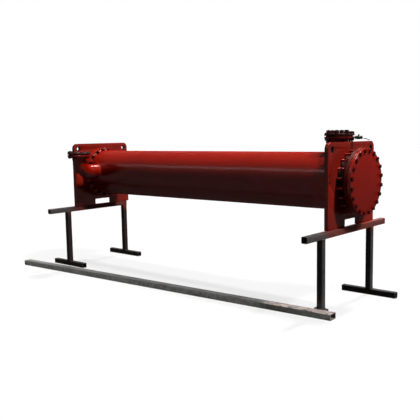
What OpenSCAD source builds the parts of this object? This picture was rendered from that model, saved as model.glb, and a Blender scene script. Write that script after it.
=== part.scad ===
// Shell and tube evaporator between two end plates, standing on a pair of tube trestles.
// X runs along the vessel, Y across it, Z up from the ground.

/* [Shell] */
// Outside diameter of the shell
shell_d = 558; // [500:1:600]
// Wall of the shell
shell_wall = 10; // [6:0.5:16]
// Distance between the inner faces of the two tube plates
shell_l = 3632; // [3200:1:4000]

/* [Tube plates] */
// Width of a tube plate, across the vessel
plate_w = 890; // [840:1:940]
// Height of a tube plate
plate_h = 798; // [760:1:840]
// Distance of the shell's axis below the top edge of the tube plates
axis_drop = 375; // [350:1:400]
// Thickness of a tube plate
plate_t = 38; // [30:0.5:50]
// Radius of a plate's two upper corners
plate_corner_r = 60; // [40:1:64]
// Diameter of a lifting hole
lift_hole_d = 50; // [40:1:60]
// Distance of a lifting hole from the plate's side edge
lift_hole_inset = 70; // [60:1:80]
// Distance of a lifting hole from the plate's top edge
lift_hole_drop = 64; // [55:1:75]
// Width of the notch in a plate's lower edge
notch_w = 262; // [200:1:300]
// Height of that notch
notch_h = 70; // [50:1:85]
// Diameter of the small tie holes by a plate's near edge
tie_hole_d = 12; // [8:0.5:16]
// Distance of the tie holes from the plate's near edge
tie_hole_inset = 25; // [20:1:32]
// Distance between the two tie holes
tie_hole_pitch = 63; // [50:1:80]
// Height of the upper tie hole above the shell's axis
tie_hole_rise = 74; // [60:1:90]

/* [Headers] */
// Distance from the shell's outside in to the outside of a header's barrel
header_step = 25; // [15:1:40]
// Wall of a header's barrel
header_wall = 12; // [8:0.5:18]
// Length of a header's barrel, from the plate to its flange
header_l = 80; // [70:1:110]
// Thickness of a header's flange
header_flange_t = 35; // [28:0.5:42]
// Thickness of an end cover
cover_t = 34; // [28:0.5:42]
// Width of the ring gasket under an end cover
cover_gasket_w = 30; // [20:1:34]
// Thickness of every sheet gasket
gasket_t = 3; // [2:0.1:4]
// Distance from the shell's outside out to the bolt circle of the covers
bolt_land = 14; // [12:0.5:24]
// Distance from that bolt circle to the edge of a cover
rim_land = 21; // [18:0.5:30]
// Number of bolts on that circle
cover_bolts = 20; // [16:2:24]
// Diameter of a bolt hole on that circle
cover_hole_d = 24; // [18:0.5:26]

/* [Shell flange] */
// Thickness of the flange that ties the shell to the left tube plate
shell_flange_t = 66; // [40:1:80]

/* [Nozzles] */
// Outside diameter of the two nozzle pipes
pipe_d = 168; // [150:1:180]
// Wall of a nozzle pipe
pipe_wall = 7; // [5:0.5:10]
// Outside diameter of a nozzle flange
flange_d = 285; // [275:1:300]
// Thickness of a nozzle flange, raised face included
flange_t = 22; // [20:0.5:28]
// Diameter of a flange's raised face
raised_face_d = 212; // [206:1:214]
// Height of that raised face
raised_face_h = 3; // [2:0.5:4]
// Bolt circle of a nozzle flange
flange_pcd = 240; // [238:1:246]
// Number of bolts in a nozzle flange
flange_bolts = 8; // [4:4:12]
// Diameter of a nozzle flange's bolt hole
flange_hole_d = 22; // [18:0.5:24]
// Diameter of a flange's hub where it meets the flange
hub_d = 190; // [184:1:194]
// Length of a flange's tapered hub
hub_l = 33; // [20:1:40]
// Least distance that a nozzle pipe reaches past the shell's inner face
pipe_inset = 6; // [2:1:20]
// Distance of the top nozzle from the right tube plate
top_nozzle_inset = 101; // [95:1:140]
// Distance of the top nozzle's flange above the top edge of the tube plate
top_flange_gap = 30; // [10:1:60]
// Turn of the top nozzle's bolt holes about its axis, in degrees
top_flange_turn = -4.5; // [-10:0.5:10]
// Distance of the side nozzle from the left tube plate
side_nozzle_inset = 226; // [215:1:320]
// Height of the side nozzle's level pipe above the shell's axis
side_nozzle_lift = 30; // [0:1:60]
// Length of the side nozzle's level pipe, from the shell's outside to the elbow
side_stub_l = 109; // [60:1:160]
// Bend radius of the side nozzle's elbow
elbow_r = 152; // [130:1:230]
// Length of the elbow's straight end, below the flange's hub
elbow_tail_l = 7; // [2:1:60]

/* [Vent cock] */
// Diameter of the vent cock's body
cock_d = 36; // [28:1:44]
// Length of the vent cock's body
cock_l = 72; // [50:1:90]
// Diameter of the nipple that screws into the flange's rim
nipple_d = 12; // [8:0.5:14]
// Length of the nipple between the rim and the body
nipple_l = 26; // [8:1:40]
// Depth of the nipple's tapped hole
nipple_depth = 16; // [10:1:20]
// Diameter of the vent cock's spout
spout_d = 9; // [6:0.5:12]
// Length of the spout
spout_l = 80; // [60:1:110]
// Downward slope of the spout, in degrees
spout_slope = 16; // [5:1:25]

/* [Trestles] */
// Side of the square tube of the trestles
tube_s = 60; // [50:1:70]
// Wall of that tube
tube_wall = 4; // [3:0.5:6]
// Height of a trestle, from the ground to the top of its beam
trestle_h = 750; // [650:1:850]
// Length of the right trestle's beam
beam_l = 1500; // [1400:1:1700]
// Distance between the posts of a trestle, centre to centre
post_pitch = 938; // [900:1:1000]
// Length of a full foot
foot_l = 585; // [500:1:650]
// Length of the short foot beside the ground rail
short_foot_l = 120; // [100:1:160]
// Distance of the trestles' middle from the vessel's axis, toward the near side
trestle_shift = 84; // [40:1:90]
// Distance of a beam's middle from a plate's outer face
beam_setback = 4; // [0:1:8]

/* [Ground rail] */
// Length of the rail on the ground
rail_l = 4370; // [4200:1:4500]
// Width of the rail
rail_w = 100; // [80:1:120]
// Height of the rail
rail_h = 60; // [50:1:80]
// Angle of the rail to the vessel, in degrees
rail_skew = 3; // [2:0.1:4]
// Length of the rail past the short foot it lies against
rail_overhang = 105; // [60:1:140]

/* [Hidden] */
// Gap left round a piece that passes through a hole or lies loose against another
clearance = 0.3;
// Extra length of a cutter past the face it opens
cut = 1;

shell_r = shell_d / 2;
shell_bore_r = shell_r - shell_wall;
pipe_r = pipe_d / 2;
pipe_bore_r = pipe_r - pipe_wall;
axis_rise = plate_h - axis_drop;
axis_z = trestle_h + axis_rise;

plate_inner_x = shell_l / 2;
plate_outer_x = plate_inner_x + plate_t;
flange_back_x = plate_outer_x + header_l;
gasket_x = flange_back_x + header_flange_t;
cover_x = gasket_x + gasket_t;
cover_front_x = cover_x + cover_t;
header_r = shell_r - header_step;
header_bore_r = header_r - header_wall;
cover_pcd = shell_d + 2 * bolt_land;
cover_r = cover_pcd / 2 + rim_land;
gasket_r = (cover_pcd - cover_hole_d) / 2 - gasket_t;

top_nozzle_x = plate_inner_x - top_nozzle_inset;
side_nozzle_x = -plate_inner_x + side_nozzle_inset;
top_nozzle_rise = axis_drop + top_flange_gap + flange_t;
top_pipe_end = sqrt(pow(shell_bore_r, 2) - pow(pipe_r, 2)) - pipe_inset;
side_axis_z = axis_z + side_nozzle_lift;
side_pipe_end = sqrt(pow(shell_bore_r, 2) - pow(pipe_r + side_nozzle_lift, 2)) - pipe_inset;
elbow_y = shell_r + side_stub_l;
side_nozzle_reach = elbow_y + elbow_r;
elbow_top_z = side_axis_z + elbow_r + elbow_tail_l;
// Height of the vent cock in the top flange's frame, half way up its rim
cock_z = -(flange_t + raised_face_h) / 2;

trestle_x = plate_outer_x - beam_setback;
post_y = post_pitch / 2;
beam_near_y = -trestle_shift - beam_l / 2;
// The left beam ends flush with its far post
left_beam_l = beam_l / 2 + post_y + tube_s / 2;
foot_front_y = -trestle_shift - post_y - tube_s / 2;
rail_touch = [trestle_x + short_foot_l / 2, foot_front_y - clearance];
rail_back_left = rail_touch + (rail_overhang - rail_l) * [cos(rail_skew), sin(rail_skew)];
rail_front_left_y = rail_back_left.y - rail_w * cos(rail_skew);

// Corners of the footprint, whose middle is the origin
low_x = min(rail_back_left.x, -trestle_x - foot_l / 2, -cover_front_x);
high_x = max(trestle_x + foot_l / 2, cover_front_x);
low_y = min(rail_front_left_y, beam_near_y);
high_y = max(beam_near_y + beam_l, plate_w / 2);

paint_red = [0.52, 0.09, 0.06];
bare_dark = [0.13, 0.08, 0.08];
gasket_grey = [0.20, 0.19, 0.18];
tube_brown = [0.17, 0.13, 0.12];
rail_grey = [0.33, 0.33, 0.31];

$fn = 96;

// Moves the vessel's own frame to the middle of the footprint
module placed() {
    translate([-(low_x + high_x) / 2, -(low_y + high_y) / 2, 0]) children();
}

// Lays what is drawn up the Z axis along the vessel's axis, starting at x
module along_axis(x) {
    translate([x, 0, axis_z]) rotate([0, 90, 0]) children();
}

// Places a piece of the right end, or its mirror image at the left end
module at_end(side) {
    mirror([side < 0 ? 1 : 0, 0, 0]) children();
}

// Ring drawn up the Z axis
module ring(outer_r, inner_r, length) {
    difference() {
        cylinder(h = length, r = outer_r);
        translate([0, 0, -cut]) cylinder(h = length + 2 * cut, r = inner_r);
    }
}

// Holes on a bolt circle, set astride both centre lines
module bolt_circle(pcd, count, hole_d, length) {
    for (i = [0 : count - 1])
        rotate([0, 0, (i + 0.5) * 360 / count])
            translate([pcd / 2, 0, -cut])
                cylinder(h = length + 2 * cut, d = hole_d, $fn = 32);
}

module cover_holes(length) {
    bolt_circle(cover_pcd, cover_bolts, cover_hole_d, length);
}

module flange_holes() {
    bolt_circle(flange_pcd, flange_bolts, flange_hole_d, flange_t);
}

// Square or flat tube along Z, centred on its own axis
module box_tube(width, depth, length) {
    linear_extrude(length)
        difference() {
            square([width, depth], center = true);
            square([width - 2 * tube_wall, depth - 2 * tube_wall], center = true);
        }
}

// Shell, open at both ends, with a hole for each nozzle pipe
module shell() {
    color(paint_red) difference() {
        along_axis(-plate_inner_x + shell_flange_t)
            ring(shell_r, shell_bore_r, shell_l - shell_flange_t);
        translate([top_nozzle_x, 0, axis_z])
            cylinder(h = shell_d, r = pipe_r + clearance);
        translate([side_nozzle_x, 0, side_axis_z])
            rotate([90, 0, 0]) cylinder(h = shell_d, r = pipe_r + clearance);
    }
}

// Thick ring at the shell's left end, bolted to the left tube plate
module shell_flange() {
    color(paint_red) along_axis(-plate_inner_x) difference() {
        ring(cover_r, shell_bore_r, shell_flange_t);
        cover_holes(shell_flange_t);
    }
}

// Outline of a tube plate: round upper corners, a notch below, lifting and tie holes
module plate_outline() {
    half_w = plate_w / 2;
    difference() {
        union() {
            translate([-half_w, 0]) square([plate_w, plate_h - plate_corner_r]);
            translate([-half_w + plate_corner_r, 0])
                square([plate_w - 2 * plate_corner_r, plate_h]);
            for (side = [-1, 1])
                translate([side * (half_w - plate_corner_r), plate_h - plate_corner_r])
                    circle(plate_corner_r);
        }
        translate([-notch_w / 2, -cut]) square([notch_w, notch_h + cut]);
        for (side = [-1, 1])
            translate([side * (half_w - lift_hole_inset), plate_h - lift_hole_drop])
                circle(d = lift_hole_d);
        for (step = [0, 1])
            translate([-half_w + tie_hole_inset, axis_rise + tie_hole_rise - step * tie_hole_pitch])
                circle(d = tie_hole_d, $fn = 32);
    }
}

module tube_plate(side) {
    color(paint_red) at_end(side)
        translate([plate_inner_x, 0, trestle_h])
            rotate([90, 0, 90]) linear_extrude(plate_t) plate_outline();
}

// Short barrel welded to a plate's outer face
module header_barrel(side) {
    color(paint_red) at_end(side)
        along_axis(plate_outer_x) ring(header_r, header_bore_r, header_l);
}

// Drilled flange on the barrel's free end
module header_flange(side) {
    color(paint_red) at_end(side)
        along_axis(flange_back_x) difference() {
            ring(cover_r, header_bore_r, header_flange_t);
            cover_holes(header_flange_t);
        }
}

// Sheet gasket inside the bolt circle
module cover_gasket(side) {
    color(gasket_grey) at_end(side)
        along_axis(gasket_x) ring(gasket_r, gasket_r - cover_gasket_w, gasket_t);
}

// Flat round cover, drilled like its flange
module end_cover(side) {
    color(paint_red) at_end(side)
        along_axis(cover_x) difference() {
            cylinder(h = cover_t, r = cover_r);
            cover_holes(cover_t);
        }
}

// Welding-neck flange: joint face on top at z = 0, hub below
module neck_flange() {
    difference() {
        rotate_extrude()
            polygon([
                [pipe_bore_r, 0],
                [raised_face_d / 2, 0],
                [raised_face_d / 2, -raised_face_h],
                [flange_d / 2, -raised_face_h],
                [flange_d / 2, -flange_t],
                [hub_d / 2, -flange_t],
                [pipe_r, -flange_t - hub_l],
                [pipe_bore_r, -flange_t - hub_l]
            ]);
        translate([0, 0, -flange_t]) flange_holes();
    }
}

// Blind flange: raised face below at z = 0
module blind_flange() {
    difference() {
        union() {
            cylinder(h = flange_t, d = raised_face_d);
            translate([0, 0, raised_face_h])
                cylinder(h = flange_t - raised_face_h, d = flange_d);
        }
        flange_holes();
    }
}

module nozzle_gasket() {
    ring(raised_face_d / 2, pipe_r, gasket_t);
}

// Frames of the two nozzles' joint faces
module at_top_joint() {
    translate([top_nozzle_x, 0, axis_z + top_nozzle_rise]) children();
}

module at_side_joint() {
    translate([side_nozzle_x, -side_nozzle_reach, elbow_top_z + hub_l + flange_t]) children();
}

// Upright pipe through the shell's top
module top_nozzle_pipe() {
    color(paint_red)
        translate([top_nozzle_x, 0, axis_z + top_pipe_end])
            ring(pipe_r, pipe_bore_r, top_nozzle_rise - flange_t - hub_l - top_pipe_end);
}

// The top flange has a tapped hole in its rim for the vent cock
module top_nozzle_flange() {
    color(paint_red) at_top_joint() difference() {
        rotate([0, 0, top_flange_turn]) neck_flange();
        translate([flange_d / 2 - nipple_depth, 0, cock_z])
            rotate([0, 90, 0]) cylinder(h = nipple_depth + cut, d = nipple_d + 2 * clearance);
    }
}

module top_nozzle_gasket() {
    color(gasket_grey) at_top_joint() nozzle_gasket();
}

module top_blind_flange() {
    color(bare_dark) at_top_joint()
        rotate([0, 0, top_flange_turn])
            translate([0, 0, gasket_t]) blind_flange();
}

// Level pipe through the shell's near side, as far as the elbow
module side_nozzle_stub() {
    color(paint_red)
        translate([side_nozzle_x, -side_pipe_end, side_axis_z])
            rotate([90, 0, 0]) ring(pipe_r, pipe_bore_r, elbow_y - side_pipe_end);
}

// Quarter bend from level to upright, with the straight end below the flange's hub
module side_nozzle_elbow() {
    color(paint_red) {
        translate([side_nozzle_x, -elbow_y, side_axis_z + elbow_r])
            rotate([180, 90, 0])
                rotate_extrude(angle = 90)
                    translate([elbow_r, 0]) difference() {
                        circle(pipe_r);
                        circle(pipe_bore_r);
                    }
        translate([side_nozzle_x, -side_nozzle_reach, side_axis_z + elbow_r])
            ring(pipe_r, pipe_bore_r, elbow_tail_l);
    }
}

module side_nozzle_flange() {
    color(paint_red) at_side_joint() neck_flange();
}

module side_nozzle_gasket() {
    color(gasket_grey) at_side_joint() nozzle_gasket();
}

module side_blind_flange() {
    color(bare_dark) at_side_joint() translate([0, 0, gasket_t]) blind_flange();
}

module at_cock(distance) {
    at_top_joint() translate([flange_d / 2 + distance, 0, cock_z]) children();
}

// Round cock body on a nipple that reaches the bottom of its tapped hole
module vent_cock() {
    color(bare_dark) {
        at_cock(-nipple_depth) rotate([0, 90, 0])
            cylinder(h = nipple_depth + nipple_l + cock_l / 2, d = nipple_d);
        at_cock(nipple_l) rotate([0, 90, 0])
            cylinder(h = cock_l, d = cock_d);
    }
}

// Thin outlet tube, sloping down from the cock's free end
module vent_spout() {
    color(bare_dark) at_cock(nipple_l + cock_l)
        rotate([0, spout_slope, 0]) rotate([0, 90, 0]) cylinder(h = spout_l, d = spout_d, $fn = 32);
}

// Beam across the vessel from its near end, with open ends
module trestle_beam(side, length) {
    color(tube_brown)
        translate([side * trestle_x, beam_near_y + length, trestle_h - tube_s / 2])
            rotate([90, 0, 0]) box_tube(tube_s, tube_s, length);
}

// Post between a foot and the beam
module trestle_post(side, across) {
    color(tube_brown)
        translate([side * trestle_x, -trestle_shift + across * post_y, tube_s])
            box_tube(tube_s, tube_s, trestle_h - 2 * tube_s);
}

// Foot along the vessel, centred under its post
module trestle_foot(side, across, length) {
    color(tube_brown)
        translate([side * trestle_x - length / 2, -trestle_shift + across * post_y, tube_s / 2])
            rotate([0, 90, 0]) box_tube(tube_s, tube_s, length);
}

// Flat tube on the ground, lying askew against the end of the short foot
module ground_rail() {
    color(rail_grey)
        translate([rail_touch.x, rail_touch.y, rail_h / 2])
            rotate([0, 0, rail_skew])
                translate([rail_overhang - rail_l, -rail_w / 2, 0])
                    rotate([0, 90, 0]) box_tube(rail_h, rail_w, rail_l);
}

placed() shell();
placed() shell_flange();
placed() tube_plate(1);  // right_tube_plate
placed() tube_plate(-1);  // left_tube_plate
placed() header_barrel(1);  // right_header_barrel
placed() header_flange(1);  // right_header_flange
placed() cover_gasket(1);  // right_cover_gasket
placed() end_cover(1);  // right_end_cover
placed() header_barrel(-1);  // left_header_barrel
placed() header_flange(-1);  // left_header_flange
placed() cover_gasket(-1);  // left_cover_gasket
placed() end_cover(-1);  // left_end_cover
placed() top_nozzle_pipe();
placed() top_nozzle_flange();
placed() top_nozzle_gasket();
placed() top_blind_flange();
placed() side_nozzle_stub();
placed() side_nozzle_elbow();
placed() side_nozzle_flange();
placed() side_nozzle_gasket();
placed() side_blind_flange();
placed() vent_cock();
placed() vent_spout();
placed() trestle_beam(1, beam_l);  // right_trestle_beam
placed() trestle_post(1, -1);  // right_near_post
placed() trestle_post(1, 1);  // right_far_post
placed() trestle_foot(1, -1, short_foot_l);  // right_near_foot
placed() trestle_foot(1, 1, foot_l);  // right_far_foot
placed() trestle_beam(-1, left_beam_l);  // left_trestle_beam
placed() trestle_post(-1, -1);  // left_near_post
placed() trestle_post(-1, 1);  // left_far_post
placed() trestle_foot(-1, -1, foot_l);  // left_near_foot
placed() trestle_foot(-1, 1, foot_l);  // left_far_foot
placed() ground_rail();
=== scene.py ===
import math

import bmesh
import bpy
import numpy as np
from mathutils import Matrix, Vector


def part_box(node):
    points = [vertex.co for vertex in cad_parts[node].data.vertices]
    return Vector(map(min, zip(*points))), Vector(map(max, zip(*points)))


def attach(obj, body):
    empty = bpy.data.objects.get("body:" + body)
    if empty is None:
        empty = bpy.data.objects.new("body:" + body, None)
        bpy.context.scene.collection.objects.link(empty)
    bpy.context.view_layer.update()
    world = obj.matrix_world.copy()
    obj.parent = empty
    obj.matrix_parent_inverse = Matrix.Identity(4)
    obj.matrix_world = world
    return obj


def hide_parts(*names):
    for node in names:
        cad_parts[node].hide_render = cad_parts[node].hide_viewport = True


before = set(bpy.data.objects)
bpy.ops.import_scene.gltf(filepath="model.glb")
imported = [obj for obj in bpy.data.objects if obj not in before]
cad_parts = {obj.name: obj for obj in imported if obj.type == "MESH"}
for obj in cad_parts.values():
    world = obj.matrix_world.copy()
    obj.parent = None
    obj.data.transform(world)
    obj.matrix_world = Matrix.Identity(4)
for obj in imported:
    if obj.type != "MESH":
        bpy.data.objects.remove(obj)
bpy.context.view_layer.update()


# Ground rail
# A length of flat rolled tube lying loose on the ground beside the near feet.
# It is zinc-coated steel, weathered grey and soiled, with round corners and sawn open ends.

def span(node):
    """Box of a solid: its low corner and its high one, as arrays."""
    return tuple(np.array(corner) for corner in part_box(node))


def stand(name, data):
    """Puts a mesh, a lamp or a camera into the scene as an object at the origin."""
    made = bpy.data.objects.new(name, data)
    bpy.context.scene.collection.objects.link(made)
    return made


def grid_mesh(name, grid, closed_rows, crease=38):
    """Makes a mesh from a grid of points, or from several such grids of one size.

    The grid is rows by columns. Quad (i, j) joins the points (i, j), (i, j+1), (i+1, j+1) and
    (i+1, j). Columns always run round and meet. Rows meet only where closed_rows says so.
    Equal points are merged, so a row that shrinks to one point becomes a pole."""
    grid = np.asarray(grid, float)
    if grid.ndim == 3:
        grid = grid[None]
    copies, rows, columns = grid.shape[:3]
    index = np.arange(copies * rows * columns).reshape(copies, rows, columns)
    beside = np.roll(index, -1, axis=2)
    quads = np.stack([index, beside, np.roll(beside, -1, axis=1), np.roll(index, -1, axis=1)],
                     axis=-1)
    if not closed_rows:
        quads = quads[:, :-1]
    mesh = bpy.data.meshes.new(name)
    mesh.from_pydata(grid.reshape(-1, 3).tolist(), [], quads.reshape(-1, 4).tolist())
    work = bmesh.new()
    work.from_mesh(mesh)
    bmesh.ops.remove_doubles(work, verts=work.verts, dist=1e-6)
    bmesh.ops.recalc_face_normals(work, faces=work.faces)
    work.to_mesh(mesh)
    work.free()
    mesh.polygons.foreach_set("use_smooth", np.ones(len(mesh.polygons), bool))
    mesh.set_sharp_from_angle(angle=math.radians(crease))
    return stand(name, mesh)


def fit_piece(piece, material, slot, *nodes):
    """Gives a piece its finish, fixes it to the one body, and lets it stand for its solids."""
    piece.data.materials.clear()
    piece.data.materials.append(material)
    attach(piece, "root")
    if nodes:
        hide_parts(*nodes)


def rounded_outline(width, depth, radius, steps=5):
    """Rectangle with quarter-circle corners: corner centre plus radius times (cos, sin)."""
    quarter = np.repeat(np.arange(4), steps)
    turn = (quarter + np.tile(np.linspace(0, 1, steps), 4)) * math.pi / 2
    middle = (quarter + 0.5) * math.pi / 2
    u = np.sign(np.cos(middle)) * (width / 2 - radius) + radius * np.cos(turn)
    v = np.sign(np.sin(middle)) * (depth / 2 - radius) + radius * np.sin(turn)
    return u, v


def rolled_tube(name, centre, along, side, length, width, depth, wall, corner):
    """Open tube: a rounded rectangle carried along a straight line.

    Point = centre + s * along + u * side + v * up, with s going out along the outside and
    back along the bore, so that the rows close into one wall with square sawn ends. The mark
    "sawn" is one at the ends and falls to nought within a few millimetres."""
    along, side = np.asarray(along, float), np.asarray(side, float)
    up = np.cross(along, side)
    outside = rounded_outline(width, depth, corner)
    bore = rounded_outline(width - 2 * wall, depth - 2 * wall, corner - wall)
    bare = 0.003
    stations = np.array([-length / 2, bare - length / 2, length / 2 - bare, length / 2])
    s = np.concatenate([stations, stations[::-1]])[:, None, None]
    u = np.repeat([outside[0], bore[0]], 4, axis=0)[..., None]
    v = np.repeat([outside[1], bore[1]], 4, axis=0)[..., None]
    tube = grid_mesh(name, np.asarray(centre) + s * along + u * side + v * up, True)
    sawn = tube.data.attributes.new("sawn", "FLOAT", "POINT")
    sawn.data.foreach_set("value", np.repeat([1.0, 0, 0, 1, 1, 0, 0, 1], outside[0].size))
    return tube


class Shade:
    """One socket of a node tree. Arithmetic on it adds Math nodes to the same tree."""

    def __init__(self, tree, socket=None):
        self.tree = tree
        self.socket = socket

    def node(self, kind, settings, inputs, output=0):
        """Adds one node: its settings first, then the values or links of its sockets."""
        made = self.tree.nodes.new(kind)
        for name, value in settings.items():
            setattr(made, name, value)
        for name, value in inputs.items():
            if isinstance(value, Shade):
                self.tree.links.new(value.socket, made.inputs[name])
            else:
                made.inputs[name].default_value = value
        return Shade(self.tree, made.outputs[output])

    def math(self, operation, *values):
        return self.node("ShaderNodeMath", {"operation": operation}, dict(enumerate(values)))

    def __add__(self, other):
        return self.math("ADD", self, other)

    def __radd__(self, other):
        return self.math("ADD", other, self)

    def __sub__(self, other):
        return self.math("SUBTRACT", self, other)

    def __rsub__(self, other):
        return self.math("SUBTRACT", other, self)

    def __mul__(self, other):
        return self.math("MULTIPLY", self, other)

    def __rmul__(self, other):
        return self.math("MULTIPLY", other, self)

    def between(self, low, high):
        """Nought below low, one above high, and an S-curve between them."""
        settings = {"interpolation_type": "SMOOTHSTEP", "clamp": True}
        inputs = {"Value": self, "From Min": low, "From Max": high}
        return self.node("ShaderNodeMapRange", settings, inputs)

    def blend(self, below, above):
        """Mixes two colours, with this socket as the share of the second."""
        settings = {"data_type": "RGBA", "clamp_factor": True}
        return self.node("ShaderNodeMix", settings, {0: self, 6: below, 7: above}, 2)

    def part(self, axis):
        """One component of a vector."""
        return self.node("ShaderNodeSeparateXYZ", {}, {0: self}, axis)

    def stretched(self, scale):
        """A vector with each component scaled."""
        return self.node("ShaderNodeVectorMath", {"operation": "MULTIPLY"}, {0: self, 1: scale})

    def mark(self, name):
        """A value that the mesh carries under this name."""
        return self.node("ShaderNodeAttribute", {"attribute_name": name}, {}, "Fac")

    def noise(self, scale, detail=3.0, roughness=0.55):
        """Soft random value from nought to one at this place."""
        inputs = {"Vector": self, "Scale": scale, "Detail": detail, "Roughness": roughness}
        return self.node("ShaderNodeTexNoise", {}, inputs)


def finish(name, paint):
    """Makes a material. paint(place, facing) returns the varying sockets and the fixed ones."""
    material = bpy.data.materials.new(name)
    material.use_nodes = True
    tree = material.node_tree
    shader = tree.nodes["Principled BSDF"]
    start = Shade(tree)
    place = start.node("ShaderNodeTexCoord", {}, {}, "Object")
    facing = start.node("ShaderNodeNewGeometry", {}, {}, "Normal")
    for socket, value in paint(place, facing).items():
        if isinstance(value, Shade):
            tree.links.new(value.socket, shader.inputs[socket])
        else:
            shader.inputs[socket].default_value = value
    return material


def relief(height, depth):
    """Bump normal from a height of nought to one that stands for this many metres."""
    return height.node("ShaderNodeBump", {}, {"Strength": 1.0, "Distance": depth, "Height": height})


def weathered_zinc(place, facing):
    """Grey zinc, mottled as it weathers, with brown stains, long scuffs, dust on top, and upward
    faces darker and less metallic left of the right end. The right end has dried mud on top and is
    damp below. The sawn ends are bare."""
    broad = place.noise(2.2, 4.0)
    mottle = place.noise(24.0, 4.0, 0.65)
    fine = place.noise(60.0, 3.0)
    scuffs = place.stretched((6.0, 90.0, 90.0)).noise(1.0, 3.0)
    stain = place.stretched((1.4, 1.0, 5.0)).noise(3.1, 5.0, 0.65).between(0.52, 0.66)
    dust = facing.part(2).between(0.5, 0.9) * place.noise(9.0, 4.0).between(0.3, 0.62)
    grey = broad.between(0.35, 0.65).blend((0.072, 0.077, 0.073, 1), (0.108, 0.110, 0.104, 1))
    grey = (mottle.between(0.38, 0.66) * 0.7).blend(grey, (0.150, 0.150, 0.142, 1))
    grey = (scuffs.between(0.58, 0.74) * 0.5).blend(grey, (0.19, 0.186, 0.178, 1))
    stained = (stain * 0.7).blend(grey, (0.085, 0.060, 0.047, 1))
    dusty = (dust * 0.35).blend(stained, (0.17, 0.145, 0.135, 1))
    length, upward_face = place.part(0), facing.part(2).between(0.2, 0.8)
    damp = length.between(1.30, 1.46) * (1 - length.between(1.75, 1.95)) * (1 - upward_face)
    damper = (damp * 0.6).blend(dusty, (0.040, 0.036, 0.032, 1))
    patchy = 0.72 + 0.28 * mottle.between(0.40, 0.58)
    # Upward faces left of the muddy end are darker and less metallic.
    upward_darkening = upward_face * (1 - length.between(1.34, 1.46)) * patchy
    darkened_upward = upward_darkening.blend(damper, (0.054, 0.052, 0.050, 1))
    mud = length.between(1.40, 1.52) * mottle.between(0.40, 0.50) * upward_face
    muddy = (mud * 0.9).blend(darkened_upward, (0.41, 0.32, 0.295, 1))
    return {
        "Base Color": (place.mark("sawn") * 0.8).blend(muddy, (0.44, 0.37, 0.34, 1)),
        "Metallic": (0.75 - 0.20 * dust - 0.20 * stain - 0.35 * mud) * (1 - 0.9 * upward_darkening),
        "Roughness": 0.50 + 0.2 * fine + 0.15 * stain,
        "Normal": relief(fine * 0.6 + scuffs * 0.4, 0.0006),
        "Specular IOR Level": 0.15,
    }


zinc = finish("weathered_zinc", weathered_zinc)
rail_length, rail_width, rail_depth, rail_wall, rail_corner = 4.370, 0.100, 0.060, 0.004, 0.008
rail_turn = math.radians(3)
rail_low, rail_high = span("ground_rail")
rail_along = (math.cos(rail_turn), math.sin(rail_turn), 0)
rail_side = (-math.sin(rail_turn), math.cos(rail_turn), 0)
rail = rolled_tube("ground_rail_tube", (rail_low + rail_high) / 2, rail_along, rail_side,
                   rail_length, rail_width, rail_depth, rail_wall, rail_corner)
fit_piece(rail, zinc, "rail_steel", "ground_rail")


# Trestles
# Two H-shaped stands of square steel tube under the plates: a beam, two posts and two feet
# each, cut square and welded all round, then brushed with dull dark paint.

tube_wall = 0.004
tube_corner = 0.008
post_weld_leg = 0.006
plate_low, plate_high = span("right_tube_plate")
near_edge, far_edge = plate_low[1], plate_high[1]


def trestle_paint(place, facing):
    """Dark paint, rust where it has worn, darker patches on upward faces, and red overspray
    beside the plates.

    The left stand's posts and feet are browner than the right one's and darker as painted
    shade, the beams are worn paler, the feet are darker towards the ground, and the sawn ends
    are bare."""
    length, across, height = place.part(0), place.part(1), place.part(2)
    broad = place.noise(4.0, 4.0)
    fine = place.noise(70.0, 3.0)
    rust = place.noise(11.0, 5.0, 0.65).between(0.57, 0.70)
    # Darker patches on upward faces.
    top_darkening = facing.part(2).between(0.5, 0.9) * place.noise(14.0, 4.0).between(0.30, 0.5)
    ragged = place.noise(9.0, 4.0) * 0.34 - 0.17
    beside = (across + ragged).between(near_edge - 0.16, near_edge + 0.05)
    raised = (height + ragged * 0.6).between(0.60, 0.70)
    spray = beside * raised * (0.45 + 0.55 * place.noise(26.0, 3.0).between(0.36, 0.62))
    grey = broad.between(0.35, 0.65).blend((0.080, 0.077, 0.078, 1), (0.125, 0.120, 0.120, 1))
    # The left stand's posts and feet: browner paint, and darker as painted shade.
    left_brown_and_shade = (1 - length.between(-0.5, 0.5)) * (1 - height.between(0.660, 0.685))
    grey = (left_brown_and_shade * 0.9).blend(grey, (0.052, 0.031, 0.027, 1))
    grey = (height.between(0.680, 0.695) * 0.8).blend(grey, (0.155, 0.138, 0.132, 1))
    # Near black towards the ground, over the feet.
    grey = (0.75 - height.between(0.058, 0.075) * 0.75).blend(grey, (0.022, 0.020, 0.020, 1))
    rusty = (rust * 0.6).blend(grey, (0.090, 0.052, 0.038, 1))
    top_darkened = (top_darkening * 0.85).blend(rusty, (0.058, 0.053, 0.052, 1))
    sprayed = spray.blend(top_darkened, (0.32, 0.058, 0.042, 1))
    return {
        "Base Color": (place.mark("sawn") * 0.75).blend(sprayed, (0.30, 0.27, 0.25, 1)),
        "Roughness": 0.52 + 0.22 * fine + 0.15 * rust,
        "Normal": relief(fine * 0.7 + rust * 0.3, 0.0007),
        "Specular IOR Level": 0.03,
    }


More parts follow.
